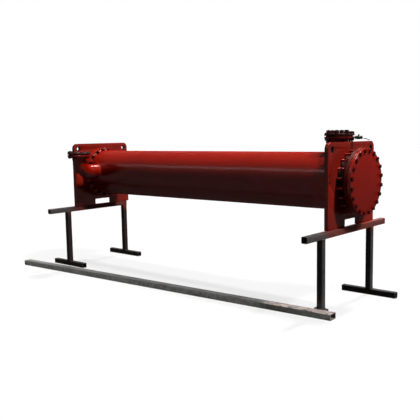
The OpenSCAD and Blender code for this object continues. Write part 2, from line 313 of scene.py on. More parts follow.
def weld_bead(corner, along, out, leg, section, pitch=0.007, seed=3):
    """Bead carried along a closed seam: point = corner + size * (p * along + q * out).

    (p, q) runs round the bead's section. The size ripples once per pitch, as each puddle sets,
    and wanders slowly by a few parts in a hundred."""
    steps = np.linalg.norm(np.diff(corner, axis=0, append=corner[:1]), axis=1)
    travel = np.concatenate([[0], np.cumsum(steps)[:-1]])
    turns = round(steps.sum() / pitch)
    phase = travel / steps.sum() * 2 * math.pi
    wander = np.sin(phase * 5 + seed) * 0.04 + np.sin(phase * 13 + 2 * seed) * 0.03
    size = leg * (1 + 0.10 * np.abs(np.sin(phase * turns / 2)) + wander)
    p, q = np.array(section).T
    along = np.broadcast_to(along, corner.shape)[:, None]
    out = np.broadcast_to(out, corner.shape)[:, None]
    return corner[:, None] + size[:, None, None] * (p[:, None] * along + q[:, None] * out)


def add_piece(name, grid, closed_rows, crease, material, slot, *nodes):
    """Makes a piece from its grid and fits it."""
    fit_piece(grid_mesh(name, grid, closed_rows, crease), material, slot, *nodes)


butt_section = [(-1.0, 0.0), (-0.55, 0.42), (0.0, 0.56), (0.55, 0.42), (1.0, 0.0), (0.0, -0.5)]
trestle_black = finish("trestle_paint", trestle_paint)
for side_name in ("right", "left"):
    seams = []
    for piece_name, lengthwise in (("trestle_beam", 1), ("near_post", 2), ("far_post", 2),
                                   ("near_foot", 0), ("far_foot", 0)):
        node = f"{side_name}_{piece_name}"
        low, high = span(node)
        middle, size = (low + high) / 2, high - low
        sideways, upwards = (lengthwise + 1) % 3, (lengthwise + 2) % 3
        tube = rolled_tube(f"{node}_tube", middle, np.eye(3)[lengthwise], np.eye(3)[sideways],
                           size[lengthwise], size[sideways], size[upwards], tube_wall, tube_corner)
        fit_piece(tube, trestle_black, "trestle_steel", node)
        if lengthwise == 2:
            u, v = rounded_outline(size[0], size[1], tube_corner, 24)
            loop = np.stack([middle[0] + u, middle[1] + v, np.zeros_like(u)], axis=1)
            flats = np.stack([loop + (np.roll(loop, -1, axis=0) - loop) * share
                              for share in (0.0, 0.25, 0.5, 0.75)], axis=1).reshape(-1, 3)
            away = flats - [middle[0], middle[1], 0]
            away /= np.linalg.norm(away, axis=1)[:, None]
            for height in (low[2], high[2]):
                seams.append(weld_bead(flats + [0, 0, height], (0.0, 0.0, 1.0), away,
                                       post_weld_leg, butt_section, seed=len(seams)))
    add_piece(f"{side_name}_trestle_welds", np.stack(seams), True, 60, trestle_black,
              "trestle_steel")


# Tube plates
# Two thick plates, flame-cut from sheet with their edges ground, drilled for the tubes and
# for shackles. They carry the whole vessel and stand on the trestles' beams.

def red_enamel(place, facing):
    """Oxide red gloss paint: broad fading, thin runs, dust on top, and small chips."""
    broad = place.noise(1.7, 3.0)
    cloudy = place.noise(7.0, 4.0)
    peel = place.noise(150.0, 2.0)
    runs = place.stretched((16.0, 16.0, 1.2)).noise(1.0, 4.0, 0.6).between(0.56, 0.74)
    upright = 1 - facing.part(2).math("ABSOLUTE", facing.part(2)).between(0.3, 0.9)
    dust = facing.part(2).between(0.25, 0.95) * cloudy.between(0.42, 0.66)
    chips = place.noise(46.0, 5.0, 0.7).between(0.735, 0.76)
    red = broad.between(0.3, 0.7).blend((0.405, 0.0105, 0.0035, 1), (0.475, 0.0140, 0.0045, 1))
    red = (cloudy.between(0.45, 0.75) * 0.35).blend(red, (0.335, 0.0105, 0.0055, 1))
    red = (runs * upright * 0.35).blend(red, (0.24, 0.0100, 0.0060, 1))
    red = (dust * 0.05).blend(red, (0.46, 0.115, 0.085, 1))
    return {
        "Base Color": chips.blend(red, (0.055, 0.030, 0.026, 1)),
        "Roughness": 0.30 + 0.10 * cloudy + 0.15 * dust + 0.2 * chips,
        "Normal": relief(peel * 0.8 + cloudy * 0.2 - chips * 0.5, 0.00035),
        "Specular IOR Level": 0.0,
        "Coat Weight": 0.025 - 0.007 * dust,
        "Coat IOR": 4.0,
        "Coat Roughness": 0.22,
    }


lifting_in, lifting_down = 0.070, 0.064
tie_in, upper_tie_down, lower_tie_down = 0.025, 0.301, 0.364
plate_ease = 0.0025


def plate_enamel(place, facing):
    """The red paint with a pale chalky tone that is partly painted sheen, and a dark ring round
    each hole that is partly rubbed-down steel and partly painted shade of the hole.

    The ring is dark where the squared distance from the hole's axis is under its radius squared."""
    sockets = red_enamel(place, facing)
    across, height = place.part(1), place.part(2)
    ragged = 0.8 + 0.4 * place.noise(80.0, 3.0)
    # The pale chalky tone is partly painted sheen.
    chalk_and_sheen = 0.12 + 0.20 * place.noise(3.0, 4.0)
    colour = chalk_and_sheen.blend(sockets["Base Color"], (0.300, 0.060, 0.042, 1))
    # Dark rings round the holes: partly worn paint, partly painted shade of each hole.
    for hole_y, down, dark_ring_r in ((near_edge + lifting_in, lifting_down, 0.031),
                                 (far_edge - lifting_in, lifting_down, 0.028),
                                 (near_edge + tie_in, upper_tie_down, 0.012),
                                 (near_edge + tie_in, lower_tie_down, 0.012)):
        away_y, away_z = across - float(hole_y), height - float(plate_high[2] - down)
        apart = (away_y * away_y + away_z * away_z) * ragged
        outside_ring = apart.between(dark_ring_r ** 2 * 0.9, dark_ring_r ** 2 * 1.25)
        colour = outside_ring.blend((0.030, 0.019, 0.017, 1), colour)
    sockets["Base Color"] = colour
    return sockets


def eased_copy(node, name, width):
    """A solid with its edges eased: its triangles joined, its flat faces made whole, its sharp
    edges cut by a bevel of this width."""
    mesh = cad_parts[node].data.copy()
    mesh.name = name
    work = bmesh.new()
    work.from_mesh(mesh)
    bmesh.ops.remove_doubles(work, verts=work.verts, dist=1e-5)
    bmesh.ops.dissolve_limit(work, angle_limit=math.radians(0.5), verts=work.verts,
                             edges=work.edges)
    work.to_mesh(mesh)
    work.free()
    mesh.polygons.foreach_set("use_smooth", np.ones(len(mesh.polygons), bool))
    piece = stand(name, mesh)
    bevel = piece.modifiers.new("eased", "BEVEL")
    bevel.limit_method = "ANGLE"
    bevel.angle_limit = math.radians(40)
    bevel.width = width
    bevel.segments = 2
    bevel.harden_normals = True
    return piece


red_paint = finish("red_enamel", red_enamel)
plate_paint = finish("plate_enamel", plate_enamel)
for side_name in ("right", "left"):
    node = f"{side_name}_tube_plate"
    fit_piece(eased_copy(node, f"{node}_ground", plate_ease), plate_paint, "red_paint", node)


# Shell
# One length of large steel pipe between the plates, welded to the right plate by a full
# fillet all round and closed by a bolted flange at the left. Painted with the rest.

AXES = {"x": (0, 1, 2), "y": (1, 2, 0), "z": (2, 0, 1)}


def round_steps(count):
    """Angles of equal steps round one turn, from nought."""
    return np.arange(count) * 2 * math.pi / count


def lathe(profile, centre, axis, columns):
    """Profile of (distance along the axis, radius) carried round that axis.

    Point = distance along the axis, and centre + radius * (cos a, sin a) across it."""
    along, first, second = AXES[axis]
    distance, radius = np.array(profile, float).T[:, :, None]
    turn = round_steps(columns)
    grid = np.empty((len(profile), columns, 3))
    grid[..., along] = distance
    grid[..., first] = centre[first] + radius * np.cos(turn)
    grid[..., second] = centre[second] + radius * np.sin(turn)
    return grid


shell_wall, shell_sag, shell_columns, shell_weld_leg = 0.010, 0.0004, 160, 0.010
shell_low, shell_high = span("shell")
axis_centre = (shell_low + shell_high) / 2
shell_r = (shell_high[2] - shell_low[2]) / 2
shell_bore = shell_r - shell_wall
shell_rows = np.linspace(shell_low[0], shell_high[0], 90)
shell_profile = [(x, shell_r) for x in shell_rows]
shell_profile += [(shell_high[0], shell_bore), (shell_low[0], shell_bore)]
shell_grid = lathe(shell_profile, axis_centre, "x", shell_columns)
turn = round_steps(shell_columns)
inner_rows = shell_rows[1:-1, None]
sag = shell_sag * np.sin(inner_rows * 3.1 + 2 * turn) * np.sin(3 * turn + inner_rows)
shell_grid[1:len(shell_rows) - 1, :, 1] += sag * np.cos(turn)
shell_grid[1:len(shell_rows) - 1, :, 2] += sag * np.sin(turn)
add_piece("shell_pipe", shell_grid, True, 38, red_paint, "red_paint", "shell")

fillet_section = [(1.0, 0.0), (0.68, 0.40), (0.40, 0.68), (0.0, 1.0), (-0.3, -0.3)]


def ring_seam(x, radius, toward, leg, seed, samples=900):
    """Fillet round the vessel's axis, between a round of this radius and a face across it at x."""
    turn = round_steps(samples)
    out = np.stack([np.zeros(samples), np.cos(turn), np.sin(turn)], axis=1)
    corner = np.array([x, axis_centre[1], axis_centre[2]]) + radius * out
    return weld_bead(corner, (toward, 0.0, 0.0), out, leg, fillet_section, seed=seed)


plate_bead = ring_seam(shell_high[0], shell_r, -1.0, shell_weld_leg, 1)
add_piece("shell_plate_weld", plate_bead, True, 60, red_paint, "red_paint")


# Shell flange
# A thick steel ring filleted to the shell's left end and drilled for twenty studs that screw
# into the left plate. Each stud has a nut and a lock nut, brushed over with a dark red that is
# partly painted shade.

def bolt_metal(place, facing):
    """Plated steel, brushed over with a dark red that is darker than the red paint, partly as
    painted shade at the bolts, thin in places and bare on some corners.
    """
    speckle = place.noise(90.0, 4.0)
    over = place.noise(17.0, 3.0).between(0.30, 0.55)
    bare = place.noise(120.0, 3.0, 0.7).between(0.60, 0.70)
    # This dark red is darker than the cover's paint, partly as painted shade at the bolts.
    dark_base_and_shade = speckle.between(0.3, 0.7).blend((0.060, 0.010, 0.008, 1), (0.095, 0.015, 0.012, 1))
    dark_red_and_shade = (0.2 + 0.5 * over).blend(dark_base_and_shade, (0.17, 0.0080, 0.0045, 1))
    return {
        "Base Color": (bare * 0.06).blend(dark_red_and_shade, (0.40, 0.30, 0.27, 1)),
        "Roughness": 0.34 + 0.2 * speckle,
        "Normal": relief(speckle, 0.0003),
        "Specular IOR Level": 0.01,
    }


def hexagon(flats, height, columns=24):
    """Chamfered hexagon standing on z = 0. At angle a its radius is the smaller of two:

    half the flats over the cosine of a folded into 30 degrees either way, and the chamfer
    cone's, which starts inside the flats at each end and widens to the corners."""
    turn = round_steps(columns)
    folded = (turn + math.pi / 6) % (math.pi / 3) - math.pi / 6
    side = flats / 2 / np.cos(folded)
    corner_r, cone_r = flats / math.sqrt(3), flats * 0.475
    cut = (corner_r - cone_r) * math.tan(math.radians(30))
    z = np.array([0, 0, cut / 2, cut, height - cut, height - cut / 2, height, height])[:, None]
    cone = cone_r + np.minimum(z, height - z) / math.tan(math.radians(30))
    radius = np.minimum(side, cone)
    radius[[0, -1]] = 0
    return np.stack([radius * np.cos(turn), radius * np.sin(turn), z + 0 * turn], axis=-1)


def thread(diameter, length, pitch, columns=14):
    """Stud end from z = 0 to length. The radius is a ridge that climbs one pitch a turn:

    root + depth * |2 * frac(z / pitch - a / turn) - 1|, with the tip chamfered."""
    turn = np.arange(columns) / columns
    z = np.linspace(0, length, max(6, round(length / pitch * 4)))[:, None]
    ridge = np.abs(2 * ((z / pitch - turn) % 1) - 1)
    radius = diameter / 2 - 0.55 * pitch * (1 - ridge)
    radius = np.minimum(radius, diameter / 2 - pitch * 0.7 + (length - z))
    radius = np.concatenate([0 * turn[None], radius, 0 * turn[None]])
    z = np.concatenate([z[:1], z, z[-1:]])
    angle = turn * 2 * math.pi
    return np.stack([radius * np.cos(angle), radius * np.sin(angle), z + 0 * turn], axis=-1)


def set_out(shape, origins, along, side, spins):
    """Copies a shape to several places: point = origin + x * side + y * up + z * along,
    with x and y first turned by each place's own spin."""
    along, side = np.asarray(along, float), np.asarray(side, float)
    up = np.cross(along, side)
    cos, sin = np.cos(spins)[:, None, None], np.sin(spins)[:, None, None]
    x = shape[..., 0] * cos - shape[..., 1] * sin
    y = shape[..., 0] * sin + shape[..., 1] * cos
    z = np.broadcast_to(shape[..., 2], x.shape)
    return origins[:, None, None] + x[..., None] * side + y[..., None] * up + z[..., None] * along


def bolt_places(x, radius, count):
    """Places on the vessel's bolt circle, astride both centre lines, and their angles."""
    turn = (np.arange(count) + 0.5) * 2 * math.pi / count
    places = np.stack([np.full(count, x), axis_centre[1] + radius * np.cos(turn),
                       axis_centre[2] + radius * np.sin(turn)], axis=1)
    return places, turn


bolt_steel = finish("bolt_metal", bolt_metal)
draws = np.random.default_rng(41)
bolt_count, bolt_inset, ring_columns = 20, 0.021, 144
back_ease, turned_ease, flange_bead_leg = 0.002, 0.003, 0.015
small_flats, small_rise, small_lock_rise = 0.0275, 0.022, 0.016
small_stud, small_stud_length, small_pitch = 0.018, 0.046, 0.0025
flange_low, flange_high = span("shell_flange")
flange_r = (flange_high[2] - flange_low[2]) / 2
bolt_r = flange_r - bolt_inset
ring_profile = [(flange_low[0], shell_bore), (flange_low[0], flange_r - back_ease),
                (flange_low[0] + back_ease, flange_r), (flange_high[0] - turned_ease, flange_r),
                (flange_high[0], flange_r - turned_ease), (flange_high[0], shell_bore)]
flange_ring = lathe(ring_profile, axis_centre, "x", ring_columns)
add_piece("shell_flange_ring", flange_ring, True, 30, red_paint, "red_paint", "shell_flange")
flange_bead = ring_seam(flange_high[0], shell_r, 1.0, flange_bead_leg, 2)
add_piece("shell_flange_weld", flange_bead, True, 60, red_paint, "red_paint")

inner_places, inner_turn = bolt_places(flange_high[0], bolt_r, bolt_count)
along, side = (1, 0, 0), (0, 1, 0)
small_nut, small_lock = hexagon(small_flats, small_rise), hexagon(small_flats, small_lock_rise)
small_nuts = np.concatenate([
    set_out(small_nut, inner_places, along, side, inner_turn),
    set_out(small_lock, inner_places + [small_rise, 0, 0], along, side, inner_turn),
])
add_piece("shell_flange_nuts", small_nuts, False, 25, bolt_steel, "dark_steel")
small_end = thread(small_stud, small_stud_length, small_pitch)
stud_ends = set_out(small_end, inner_places, along, side, draws.uniform(0, 6, bolt_count))
add_piece("shell_flange_studs", stud_ends, False, 50, bolt_steel, "dark_steel")


# Headers
# A short barrel rolled from plate stands on each tube plate and carries a turned flange, with
# both seams filleted. The barrel and its seams are near black as painted shade, red on top, and
# the flange has thin dull paint that is darker partly as painted shade.

def dull_red_and_shade(place, facing):
    """Thin red over weld scale: the paint is dull, brownish and patchy, and darker than the red
    paint partly as painted shade.
    """
    patch = place.noise(20.0, 4.0)
    fine = place.noise(130.0, 3.0)
    # This darker red is partly painted shade on the nozzle neck and the header flanges.
    red = patch.between(0.3, 0.7).blend((0.135, 0.0145, 0.0085, 1), (0.235, 0.0150, 0.0075, 1))
    return {
        "Base Color": (fine.between(0.66, 0.72) * 0.5).blend(red, (0.060, 0.030, 0.025, 1)),
        "Roughness": 0.45 + 0.25 * fine,
        "Normal": relief(fine, 0.0004),
        "Specular IOR Level": 0.04,
    }


def near_black_painted_shade(place, facing):
    """Near black as painted shade, with red spray in patches and red on upward faces."""
    patch = place.noise(16.0, 4.0).between(0.45, 0.70)
    upward_red = facing.part(2).between(0.25, 0.75)
    fine = place.noise(140.0, 3.0)
    # The near black here is painted shade.
    scale = fine.between(0.3, 0.7).blend((0.024, 0.020, 0.020, 1), (0.042, 0.034, 0.033, 1))
    return {
        "Base Color": (patch * 0.4 + upward_red * 0.5).blend(scale, (0.170, 0.0120, 0.0075, 1)),
        "Roughness": 0.50 + 0.25 * fine,
        "Normal": relief(fine, 0.0004),
        "Specular IOR Level": 0.03,
    }


neck_red_and_shade = finish("dull_red_and_shade", dull_red_and_shade)
barrel_painted_shade = finish("near_black_painted_shade", near_black_painted_shade)
barrel_wall, plate_seam_leg, flange_seam_leg = 0.012, 0.011, 0.010
for side_name, out in (("right", 1.0), ("left", -1.0)):
    low, high = span(f"{side_name}_header_barrel")
    barrel_r = (high[2] - low[2]) / 2
    barrel_bore = barrel_r - barrel_wall
    plate_end, flange_end = (low[0], high[0]) if out > 0 else (high[0], low[0])
    barrel_profile = [(low[0], barrel_r), (high[0], barrel_r), (high[0], barrel_bore),
                      (low[0], barrel_bore)]
    barrel = lathe(barrel_profile, axis_centre, "x", ring_columns)
    add_piece(f"{side_name}_header_roll", barrel, True, 30, barrel_painted_shade, "red_paint",
              f"{side_name}_header_barrel")

    low, high = span(f"{side_name}_header_flange")
    turned_profile = [(low[0], barrel_bore), (low[0], flange_r - turned_ease),
                      (low[0] + turned_ease, flange_r), (high[0] - turned_ease, flange_r),
                      (high[0], flange_r - turned_ease), (high[0], barrel_bore)]
    turned = lathe(turned_profile, axis_centre, "x", ring_columns)
    add_piece(f"{side_name}_header_flange_turned", turned, True, 30, neck_red_and_shade, "red_paint",
              f"{side_name}_header_flange")

    seams = np.stack([ring_seam(plate_end, barrel_r, out, plate_seam_leg, 5),
                      ring_seam(flange_end, barrel_r, -out, flange_seam_leg, 8)])
    add_piece(f"{side_name}_header_welds", seams, True, 60, barrel_painted_shade, "red_paint")


# End covers
# A flat round cover closes each header against a fibre gasket. Twenty long bolts go through
# the cover, the flange and a nut behind it, and screw into the tube plate.

def fibre_sheet(place, facing):
    """Grey pressed fibre, speckled and matt."""
    fleck = place.noise(220.0, 3.0, 0.7)
    grey = fleck.between(0.35, 0.65).blend((0.035, 0.034, 0.033, 1), (0.070, 0.066, 0.062, 1))
    return {"Base Color": grey, "Roughness": 0.8 + 0.15 * fleck, "Normal": relief(fleck, 0.0003)}


def coat_solid(node, material):
    """Gives a finish to a solid that stays as it is."""
    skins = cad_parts[node].data.materials
    skins.clear()
    skins.append(material)


gasket_fibre = finish("fibre_sheet", fibre_sheet)
bolt_size, bolt_pitch, nut_flats, nut_height, head_height = 0.022, 0.0025, 0.034, 0.018, 0.015
front_ease, front_round = 0.004, 0.0012
for side_name, out in (("right", 1.0), ("left", -1.0)):
    coat_solid(f"{side_name}_cover_gasket", gasket_fibre)

    low, high = span(f"{side_name}_end_cover")
    front, back = (high[0], low[0]) if out > 0 else (low[0], high[0])
    cover_profile = [(back, 0), (back, flange_r - back_ease), (back + back_ease * out, flange_r),
                     (front - front_ease * out, flange_r),
                     (front - front_round * out, flange_r - front_round),
                     (front, flange_r - front_ease), (front, 0)]
    cover = lathe(cover_profile, axis_centre, "x", ring_columns)
    add_piece(f"{side_name}_end_cover_turned", cover, False, 30, red_paint, "red_paint",
              f"{side_name}_end_cover")

    outward, inward, side = (out, 0, 0), (-out, 0, 0), (0, 1, 0)
    places, _ = bolt_places(front, bolt_r, bolt_count)
    flange_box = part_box(f"{side_name}_header_flange")
    behind = flange_box[0][0] if out > 0 else flange_box[1][0]
    rear, _ = bolt_places(behind, bolt_r, bolt_count)
    head_spins, nut_spins = draws.uniform(0, 1, bolt_count), draws.uniform(0, 1, bolt_count)
    nuts = np.concatenate([
        set_out(hexagon(nut_flats, head_height), places, outward, side, head_spins),
        set_out(hexagon(nut_flats, nut_height), rear, inward, side, nut_spins),
    ])
    add_piece(f"{side_name}_cover_nuts", nuts, False, 25, bolt_steel, "dark_steel")
    plate_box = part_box(f"{side_name}_tube_plate")
    thread_length = abs(behind - (plate_box[1][0] if out > 0 else plate_box[0][0]))
    bolt_end = thread(bolt_size, thread_length, bolt_pitch)
    ends = set_out(bolt_end, rear, inward, side, draws.uniform(0, 6, bolt_count))
    add_piece(f"{side_name}_cover_threads", ends, False, 50, red_paint, "red_paint")


# Top nozzle
# A short upright pipe through the shell with a welding-neck flange, blanked for transport by
# a dark flange, a fibre gasket and eight studs. Each has nuts below and nuts or a cap above.

def blank_primer(place, facing):
    """Dull dark brown primer, thin on the edges, with dust and light rust."""
    broad = place.noise(14.0, 4.0)
    fine = place.noise(120.0, 3.0)
    rust = place.noise(30.0, 5.0, 0.65).between(0.58, 0.70)
    brown = broad.between(0.3, 0.7).blend((0.062, 0.018, 0.017, 1), (0.105, 0.026, 0.024, 1))
    return {
        "Base Color": (rust * 0.5).blend(brown, (0.12, 0.035, 0.024, 1)),
        "Roughness": 0.5 + 0.25 * fine,
        "Normal": relief(fine, 0.0004),
        "Specular IOR Level": 0.03,
    }


nozzle_r, nozzle_bore, nozzle_columns = 0.084, 0.077, 96
rim_r, face_r, hub_r, nozzle_bolt_r = 0.1425, 0.106, 0.095, 0.120
flange_thick, hub_length, saddle_leg, pipe_bead_leg = 0.022, 0.055, 0.010, 0.0075


def nozzle_pipe(start, end, centre, axis):
    """Pipe between two places on an axis: out along its outside and back along its bore."""
    profile = [(start, nozzle_r), (end, nozzle_r), (end, nozzle_bore), (start, nozzle_bore)]
    return lathe(profile, centre, axis, nozzle_columns)


def nozzle_flange(joint, centre):
    """Welding-neck flange below a joint face: raised face, rim, back, and a tapered hub."""
    back, end = joint - flange_thick, joint - hub_length
    profile = [(joint, nozzle_bore), (joint, face_r - 0.001), (joint - 0.001, face_r),
               (joint - 0.003, face_r + 0.0005), (joint - 0.003, rim_r - 0.0015),
               (joint - 0.0045, rim_r), (joint - 0.0205, rim_r), (back, rim_r - 0.0015),
               (back, hub_r + 0.004), (joint - 0.0245, hub_r + 0.0008),
               (joint - 0.028, hub_r - 0.0015), (end, nozzle_r), (end, nozzle_bore)]
    return lathe(profile, centre, "z", nozzle_columns)


def blind(seat, centre):
    """Blind flange above a gasket: raised face below, rim, and a plain top, closed by poles."""
    top = seat + flange_thick
    profile = [(seat, 0), (seat, face_r - 0.001), (seat + 0.001, face_r),
               (seat + 0.003, face_r + 0.0005), (seat + 0.003, rim_r - 0.0015),
               (seat + 0.0045, rim_r), (seat + 0.020, rim_r), (top, rim_r - 0.002), (top, 0)]
    return lathe(profile, centre, "z", nozzle_columns)


def flange_places(centre, z, turn_degrees):
    """Eight places on a nozzle flange's bolt circle at height z, astride its centre lines."""
    turn = np.radians(22.5 + turn_degrees + 45 * np.arange(8))
    return np.stack([centre[0] + nozzle_bolt_r * np.cos(turn),
                     centre[1] + nozzle_bolt_r * np.sin(turn), np.full(8, z)], axis=1)


def saddle(centre, axis, samples=420):
    """Fillet where a pipe meets the shell: the pipe's circle lifted on to the shell's round.

    On the shell, height = sqrt(shell radius squared - distance across squared). The bead lies
    between the pipe's own direction and the shell's tangent that leads away from the pipe."""
    turn = round_steps(samples)
    x, nothing = centre[0] + nozzle_r * np.cos(turn), np.zeros(samples)
    sideways = 1 if axis == "z" else 2
    across = centre[sideways] - axis_centre[sideways] + nozzle_r * np.sin(turn)
    rise = np.sqrt(shell_r ** 2 - across ** 2)
    if axis == "z":
        corner = np.stack([x, axis_centre[1] + across, axis_centre[2] + rise], axis=1)
        normal = np.stack([nothing, across, rise], axis=1) / shell_r
        out = np.stack([np.cos(turn), np.sin(turn), nothing], axis=1)
        along = np.array([0.0, 0.0, 1.0])
    else:
        corner = np.stack([x, axis_centre[1] - rise, axis_centre[2] + across], axis=1)
        normal = np.stack([nothing, -rise, across], axis=1) / shell_r
        out = np.stack([np.cos(turn), nothing, np.sin(turn)], axis=1)
        along = np.array([0.0, -1.0, 0.0])
    tangent = out - (out * normal).sum(1)[:, None] * normal
    tangent /= np.linalg.norm(tangent, axis=1)[:, None]
    return weld_bead(corner, along, tangent, saddle_leg, fillet_section, seed=4)


def pipe_seam(centre, axis, at, seed, samples=420):
    """Butt weld round a pipe: a low bead round the given axis at one place along it."""
    along, first, second = AXES[axis]
    turn = round_steps(samples)
    out = np.zeros((samples, 3))
    out[:, first], out[:, second] = np.cos(turn), np.sin(turn)
    corner = np.array(centre, float) + nozzle_r * out
    corner[:, along] = at
    return weld_bead(corner, np.eye(3)[along], out, pipe_bead_leg, butt_section, seed=seed)


primer = finish("blank_primer", blank_primer)
pipe_low, pipe_high = span("top_nozzle_pipe")
top_centre = (pipe_low + pipe_high) / 2
top_tube = nozzle_pipe(pipe_low[2], pipe_high[2], top_centre, "z")
add_piece("top_nozzle_tube", top_tube, True, 30, red_paint, "red_paint", "top_nozzle_pipe")

top_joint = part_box("top_nozzle_flange")[1][2]
top_neck = nozzle_flange(top_joint, top_centre)
add_piece("top_nozzle_neck", top_neck, True, 30, neck_red_and_shade, "red_paint", "top_nozzle_flange")
top_saddle = saddle(top_centre, "z")
add_piece("top_nozzle_saddle_weld", top_saddle, True, 60, red_paint, "red_paint")
top_seam = pipe_seam(top_centre, "z", pipe_high[2], 6)
add_piece("top_nozzle_neck_weld", top_seam, True, 60, red_paint, "red_paint")

stud_size, stud_pitch, heavy_flats, light_flats = 0.020, 0.0025, 0.041, 0.037
nut_rise, lock_rise, cap_rise = 0.019, 0.014, 0.010


def blank_off(name, centre, joint, turned, capped, locked, over, under):
    """Closes a nozzle: gasket and blind flange, and eight studs with nuts below and above.

    Where capped is true a low cap nut stands on top, and elsewhere a heavy nut with this much
    thread over it. Where locked is true a thinner lock nut follows the nut above and the one
    below. Each stud's thread ends this far under the flange."""
    coat_solid(f"{name}_nozzle_gasket", gasket_fibre)
    low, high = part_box(f"{name}_blind_flange")
    add_piece(f"{name}_blind_turned", blind(low[2], centre), False, 30, primer, "dark_steel",
              f"{name}_blind_flange")
    high_z, low_z = high[2], joint - flange_thick
    above, below = flange_places(centre, high_z, turned), flange_places(centre, low_z, turned)
    up, down, side = (0, 0, 1), (0, 0, -1), (1, 0, 0)
    spins, lock_spins = draws.uniform(0.08, 0.30, 8), draws.uniform(0.08, 0.30, 8)
    heavy_nut, light_nut = hexagon(heavy_flats, nut_rise), hexagon(light_flats, nut_rise)
    heavy_lock, light_lock = hexagon(heavy_flats, lock_rise), hexagon(light_flats, lock_rise)
    low_cap, past_nut = hexagon(light_flats, cap_rise), np.array([0, 0, nut_rise])
    nuts = np.concatenate([
        set_out(heavy_nut, above[~capped], up, side, spins[~capped]),
        set_out(low_cap, above[capped], up, side, spins[capped]),
        set_out(heavy_lock, above[locked] + past_nut, up, side, lock_spins[locked]),
        set_out(light_nut, below, down, side, spins[::-1]),
        set_out(light_lock, below[locked] - past_nut, down, side, lock_spins[::-1][locked]),
    ])
    add_piece(f"{name}_flange_nuts", nuts, False, 25, primer, "dark_steel")
    single = ~capped & ~locked
    for kind, rise, chosen in (("single", nut_rise, single),
                               ("locked", nut_rise + lock_rise, locked)):
        if chosen.any():
            stud_top = thread(stud_size, rise + over, stud_pitch)
            tops = set_out(stud_top, above[chosen], up, side, spins[chosen])
            add_piece(f"{name}_flange_stud_tops_{kind}", tops, False, 50, primer, "dark_steel")
    ends = set_out(thread(stud_size, under, stud_pitch), below, down, side, spins)
    add_piece(f"{name}_flange_stud_ends", ends, False, 50, primer, "dark_steel")
    shank_r = stud_size / 2
    shank_profile = [(low_z, 0), (low_z, shank_r), (high_z, shank_r), (high_z, 0)]
    shank = lathe(shank_profile, (0, 0, 0), "z", 16)
    shanks = shank + np.concatenate([above[:, :2], np.zeros((8, 1))], axis=1)[:, None, None]
    add_piece(f"{name}_flange_shanks", shanks, False, 30, primer, "dark_steel")


top_turn = -4.5
top_capped = np.array([False, False, False, False, True, False, False, False])
top_locked = np.array([False, False, True, True, False, True, True, True])
blank_off("top", top_centre, top_joint, top_turn, top_capped, top_locked, over=0.003, under=0.042)


# Vent cock
# A small turned cock screws into the top flange's rim on a nipple, to bleed air. It has a
# hexagon at each end, a square key on its plug, and a thin bent outlet tube.

def old_brass(place, facing):
    """Darkened brass: brown to black, a little bright where hands touch it."""
    broad = place.noise(60.0, 3.0)
    fine = place.noise(400.0, 2.0)
    dark = broad.between(0.35, 0.65).blend((0.012, 0.013, 0.010, 1), (0.032, 0.032, 0.022, 1))
    return {
        "Base Color": (fine.between(0.62, 0.75) * 0.6).blend(dark, (0.12, 0.10, 0.055, 1)),
        "Metallic": 0.35,
        "Roughness": 0.42 + 0.2 * fine,
        "Normal": relief(fine, 0.0002),
        "Specular IOR Level": 0.08,
    }


def dull_tin(place, facing):
    """Tinned tube, grey with small dull blotches."""
    blotch = place.noise(110.0, 4.0)
    grey = blotch.between(0.35, 0.65).blend((0.10, 0.10, 0.10, 1), (0.20, 0.20, 0.20, 1))
    return {
        "Base Color": grey,
        "Metallic": 0.6,
        "Roughness": 0.4 + 0.2 * blotch,
        "Normal": relief(blotch, 0.0002),
    }


brass = finish("old_brass", old_brass)
nipple_r, body_length, collar_flats, collar_length = 0.006, 0.072, 0.029, 0.011
cock_low, cock_high = span("vent_cock")
cock_centre = (cock_low + cock_high) / 2
body_start, body_end = cock_high[0] - body_length, cock_high[0]
body_rows = [(0, 0.011), (0.012, 0.012), (0.016, 0.0155), (0.024, 0.0178), (0.036, 0.0180),
             (0.048, 0.0172), (0.056, 0.0145), (0.060, 0.011)]
cock_profile = [(cock_low[0], 0), (cock_low[0], nipple_r), (body_start, nipple_r)]
cock_profile += [(body_start + past, radius) for past, radius in body_rows]
cock_profile += [(body_end, 0.010), (body_end, 0)]
cock = lathe(cock_profile, cock_centre, "x", 48)
add_piece("vent_cock_turned", cock, False, 35, brass, "dark_steel", "vent_cock")
collar_places = np.array([[x, cock_centre[1], cock_centre[2]]
                          for x in (body_start, body_end - 0.012)])
collar = hexagon(collar_flats, collar_length)
collars = set_out(collar, collar_places, (1, 0, 0), (0, 1, 0), np.zeros(2))
add_piece("vent_cock_collars", collars, False, 25, brass, "dark_steel")
key_width, plug_x = 0.010, body_start + 0.036
key_u, key_v = rounded_outline(key_width, key_width, 0.001, 3)
key_rows = [(0.012, 0.0), (0.012, 1.0), (0.029, 1.0), (0.030, 0.85), (0.030, 0.0)]
key_rise, key_share = np.array(key_rows).T[:, :, None]
key = np.stack([plug_x + key_share * key_u, cock_centre[1] + key_share * key_v,
                cock_centre[2] + key_rise + 0 * key_u], axis=-1)
add_piece("vent_cock_key", key, False, 25, brass, "dark_steel")


